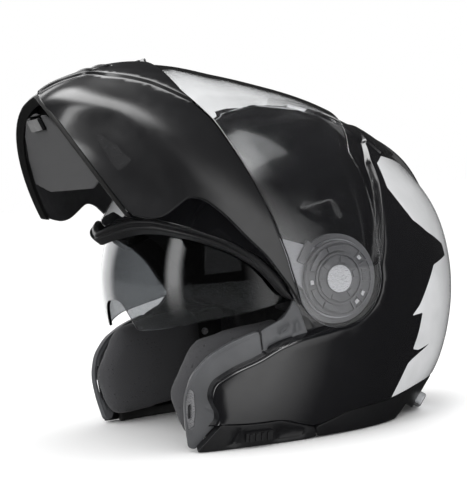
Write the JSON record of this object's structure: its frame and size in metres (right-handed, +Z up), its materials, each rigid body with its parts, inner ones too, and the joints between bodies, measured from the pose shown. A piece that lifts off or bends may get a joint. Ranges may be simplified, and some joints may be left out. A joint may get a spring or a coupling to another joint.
{
  "type": "modular motorcycle helmet",
  "caption": "Full-face modular helmet with flip-up chin bar, clear face shield, drop-down smoked sun visor, vents, comfort padding and a ratchet chin strap.",
  "frame": {"origin": "on the plane the lower rim stands on, under the middle of the bounding box with the chin bar raised", "axes": "+Z up, -Y to the front of the helmet, +X to the wearer's left"},
  "size_m": [0.256, 0.3316, 0.2832],
  "materials": {
    "shell_white": "white gloss paint under clear coat, with black painted side panels",
    "chin_black": "black gloss paint under clear coat",
    "eps_foam": "black expanded foam, fine bead texture",
    "comfort_fabric": "black knitted mesh comfort fabric",
    "leatherette": "black leatherette neck roll",
    "black_rubber": "black rubber edge seal",
    "grey_frame": "satin grey moulded plastic",
    "bright_steel": "bright plated steel",
    "hinge_steel": "zinc plated steel plate",
    "black_trim": "satin black moulded plastic",
    "pale_trim": "pale grey moulded plastic",
    "vent_black": "black moulded plastic",
    "hinge_plastic": "dark grey acetal",
    "webbing": "black woven polyester webbing",
    "buckle_plastic": "black glass filled nylon",
    "lever_red": "red moulded plastic",
    "clear_shield": "clear hard coated polycarbonate",
    "smoked_visor": "dark smoke tinted polycarbonate"
  },
  "bodies": {
    "helmet": {"outer_shell": "shell_white", "impact_liner": "eps_foam", "liner_front_insert": "eps_foam", "crown_pad": "comfort_fabric", "cheek_pad_left": "comfort_fabric", "cheek_pad_right": "comfort_fabric", "neck_roll": "leatherette", "brow_gasket": "black_rubber", "side_frame_upper_left": "grey_frame", "side_frame_upper_right": "grey_frame", "side_frame_lower_left": "grey_frame", "side_frame_lower_right": "grey_frame", "striker_plate_left": "bright_steel", "striker_plate_right": "bright_steel", "base_trim_front_left": "black_trim", "base_trim_front_right": "black_trim", "base_trim_rear": "black_trim", "base_edge_strip": "black_rubber", "rear_diffuser": "pale_trim", "top_vent_housing": "vent_black", "rear_exhaust_cover": "vent_black", "hinge_base_left": "hinge_plastic", "hinge_base_right": "hinge_plastic", "pivot_screw_left": "bright_steel", "pivot_screw_right": "bright_steel", "strap_anchors": "bright_steel", "chin_strap_left": "webbing", "chin_strap_right": "webbing", "buckle_body": "buckle_plastic", "ratchet_tongue": "buckle_plastic", "sun_visor_pins": "bright_steel"},
    "chin_bar_body": {"chin_bar": "chin_black", "chin_bar_liner": "eps_foam", "chin_edge_trim": "black_rubber", "chin_vent_housing": "chin_black", "chin_curtain": "comfort_fabric", "breath_deflector": "black_rubber", "hinge_plate_left": "hinge_steel", "hinge_plate_right": "hinge_steel"},
    "shield_body": {"face_shield": "clear_shield", "shield_ratchet_left": "hinge_plastic", "shield_ratchet_right": "hinge_plastic"},
    "chin_vent_slider_body": {"chin_vent_slider": "vent_black"},
    "release_button_body": {"release_button": "black_trim"},
    "latch_left_body": {"latch_hook_left": "bright_steel"},
    "latch_right_body": {"latch_hook_right": "bright_steel"},
    "sun_visor_body": {"sun_visor": "smoked_visor"},
    "visor_slider_body": {"sun_visor_slider": "black_trim"},
    "top_vent_slider_body": {"top_vent_slider": "vent_black"},
    "buckle_lever_body": {"buckle_lever": "lever_red"}
  },
  "joints": [
    {"name": "chin_flip", "type": "hinge", "parent": "helmet", "child": "chin_bar_body", "pos_m": [0, 0.01556, 0.113], "axis": [1, 0, 0], "range_deg": [0, 67]},
    {"name": "shield_tilt", "type": "hinge", "parent": "chin_bar_body", "child": "shield_body", "pos_m": [0, 0.01556, 0.113], "axis": [1, 0, 0], "range_deg": [-10, 0]},
    {"name": "sun_visor_swing", "type": "hinge", "parent": "helmet", "child": "sun_visor_body", "pos_m": [0, 0.00356, 0.112], "axis": [1, 0, 0], "range_deg": [-45, 0]},
    {"name": "sun_visor_slide", "type": "slide", "parent": "helmet", "child": "visor_slider_body", "axis": [0.0906, 0.9959, 0], "range_m": [0, 0.022]},
    {"name": "top_vent_slide", "type": "slide", "parent": "helmet", "child": "top_vent_slider_body", "axis": [0, 1, 0], "range_m": [0, 0.008]},
    {"name": "chin_vent_slide", "type": "slide", "parent": "chin_bar_body", "child": "chin_vent_slider_body", "axis": [1, 0, 0], "range_m": [0, 0.0048]},
    {"name": "release_button_press", "type": "slide", "parent": "chin_bar_body", "child": "release_button_body", "axis": [0, 0.9205, 0.3907], "range_m": [0, 0.004], "stiffness_N_per_m": 600, "springref_m": -0.002},
    {"name": "latch_left_turn", "type": "hinge", "parent": "chin_bar_body", "child": "latch_left_body", "pos_m": [0, -0.08865, 0.20239], "axis": [1, 0, 0], "range_deg": [0, 25]},
    {"name": "latch_right_turn", "type": "hinge", "parent": "chin_bar_body", "child": "latch_right_body", "pos_m": [0, -0.08865, 0.20239], "axis": [1, 0, 0], "range_deg": [0, 25]},
    {"name": "buckle_lever_turn", "type": "hinge", "parent": "helmet", "child": "buckle_lever_body", "pos_m": [0.058, 0.01156, 0.0164], "axis": [0, 1, 0], "range_deg": [-35, 0], "stiffness_Nm_per_rad": 0.02, "springref_deg": 34.38}
  ],
  "couplings": [
    {"joint": "sun_visor_slide", "follows": "sun_visor_swing", "m_per_rad": -0.028},
    {"joint": "latch_right_turn", "follows": "latch_left_turn", "ratio": 1}
  ]
}
